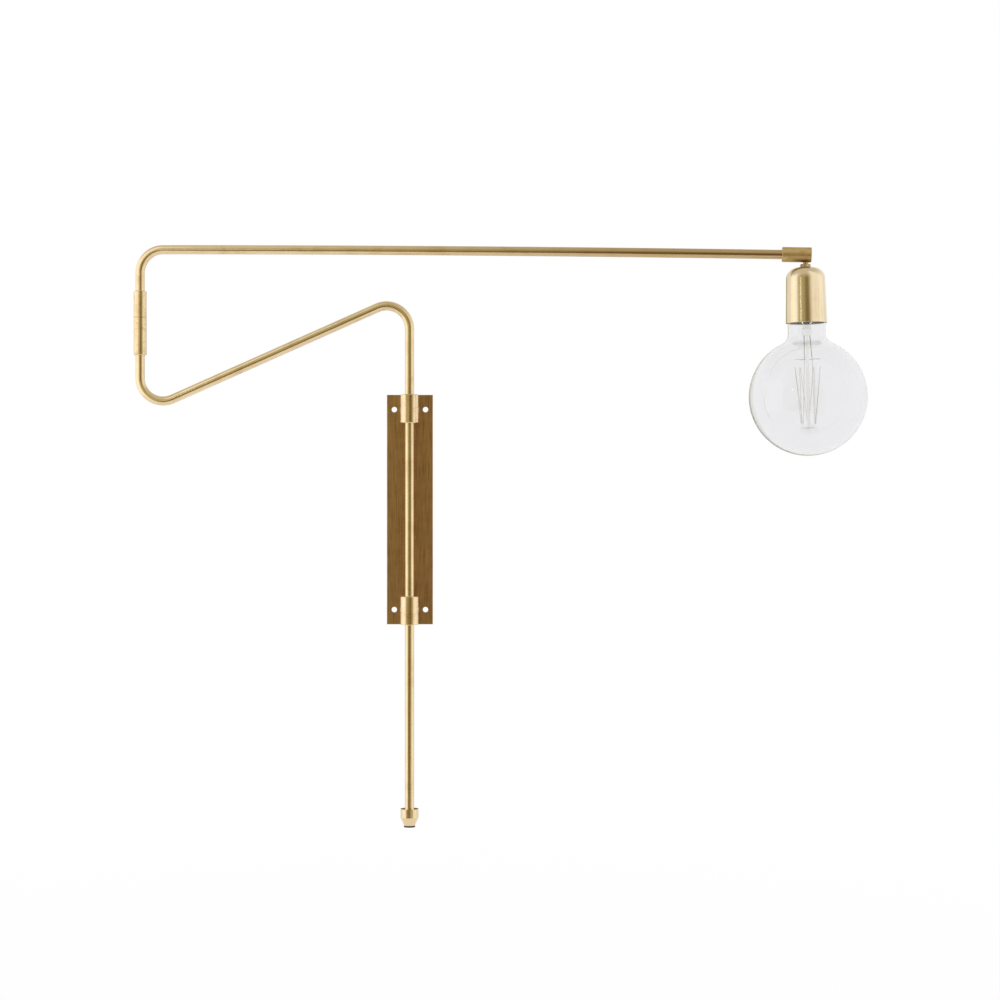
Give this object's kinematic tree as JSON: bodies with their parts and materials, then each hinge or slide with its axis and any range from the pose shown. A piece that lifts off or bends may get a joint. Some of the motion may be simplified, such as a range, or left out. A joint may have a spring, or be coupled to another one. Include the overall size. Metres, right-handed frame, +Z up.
{
  "type": "swing arm wall lamp",
  "caption": "Brass swing arm wall lamp: a slim wall plate carries a bent tube arm with an elbow swivel, a long upper arm and a cup holder with a clear globe bulb.",
  "frame": {"origin": "centre of the wall plate's back face, on the wall", "axes": "+X along the wall to the right seen from the room, +Z up, +Y into the wall, so the lamp stands out towards -Y"},
  "size_m": [0.787, 0.1297, 0.6314],
  "materials": {
    "aged_brass": "aged satin",
    "sleeve_brass": "brushed",
    "tube_brass": "drawn and brushed",
    "elbow_brass": "turned and polished",
    "block_brass": "turned and matt",
    "cup_brass": "spun and polished",
    "turned_brass": "turned",
    "steel": "zinc plated",
    "nickel": "nickel plated",
    "nylon": "moulded",
    "grommet_rubber": "moulded",
    "lead_sheath": "extruded",
    "core_insulation": "extruded",
    "porcelain": "glazed porcelain",
    "black_glass": "pressed black glass",
    "clear_glass": "blown clear",
    "stem_glass": "drawn and pressed clear",
    "support_wire": "drawn wire",
    "filament": "coiled wire"
  },
  "bodies": {
    "wall_bracket": {"wall_plate": "aged_brass", "upper_sleeve": "sleeve_brass", "lower_sleeve": "sleeve_brass", "upper_bush": "nylon", "lower_bush": "nylon", "sleeve_screws": "steel", "shaft_grub_screws": "steel", "shaft_friction_pads": "nylon"},
    "lower_arm": {"lower_arm_tube": "tube_brass", "lower_arm_lead": "lead_sheath", "gland_body": "tube_brass", "gland_cap": "tube_brass", "gland_insert": "nylon", "gland_grommet": "grommet_rubber", "lower_coupling": "elbow_brass", "swivel_spindle": "turned_brass", "thrust_washer": "turned_brass", "stop_pin": "steel", "spring_washer": "steel", "swivel_nut": "turned_brass"},
    "upper_arm": {"swivel_housing": "elbow_brass", "upper_coupling": "elbow_brass", "upper_arm_tube": "tube_brass", "upper_arm_lead": "lead_sheath", "upper_arm_cores": "core_insulation", "end_block": "block_brass", "block_screw": "steel"},
    "head_stem": {"ball_stem": "turned_brass", "stem_washer": "steel", "stem_nut": "turned_brass", "stem_cores": "core_insulation"},
    "lamp_head": {"ball_housing": "turned_brass", "ball_seat": "nylon", "holder_cup": "cup_brass", "cup_locknut": "turned_brass", "socket_entry": "steel", "socket_screws": "steel", "socket_body": "porcelain", "screw_shell": "nickel", "centre_contact": "turned_brass", "terminal_blocks": "turned_brass", "terminal_screws": "steel", "earth_terminal": "turned_brass", "socket_wires": "core_insulation", "bulb_cap": "nickel", "cap_insulator": "black_glass", "contact_button": "nickel", "bulb_glass": "clear_glass", "glass_stem": "stem_glass", "lead_in_wires": "nickel", "filament_supports": "support_wire", "filament": "filament"}
  },
  "joints": [
    {"name": "wall_swing", "type": "hinge", "parent": "wall_bracket", "child": "lower_arm", "pos_m": [0, -0.012, 0], "axis": [0, 0, 1], "range_deg": [0, 180]},
    {"name": "elbow_swing", "type": "hinge", "parent": "lower_arm", "child": "upper_arm", "pos_m": [-0.2925, -0.012, 0.2085], "axis": [0, 0, 1], "range_deg": [-160.6, 169.4]},
    {"name": "head_pan", "type": "hinge", "parent": "upper_arm", "child": "head_stem", "pos_m": [0.4225, -0.06702, 0.27043], "axis": [0.0244, -0.0019, 0.9997], "range_deg": [-150, 150]},
    {"name": "head_tilt", "type": "hinge", "parent": "head_stem", "child": "lamp_head", "pos_m": [0.42214, -0.06699, 0.25574], "axis": [0.0767, 0.9971, 0], "range_deg": [-9.4, 14.6]}
  ]
}
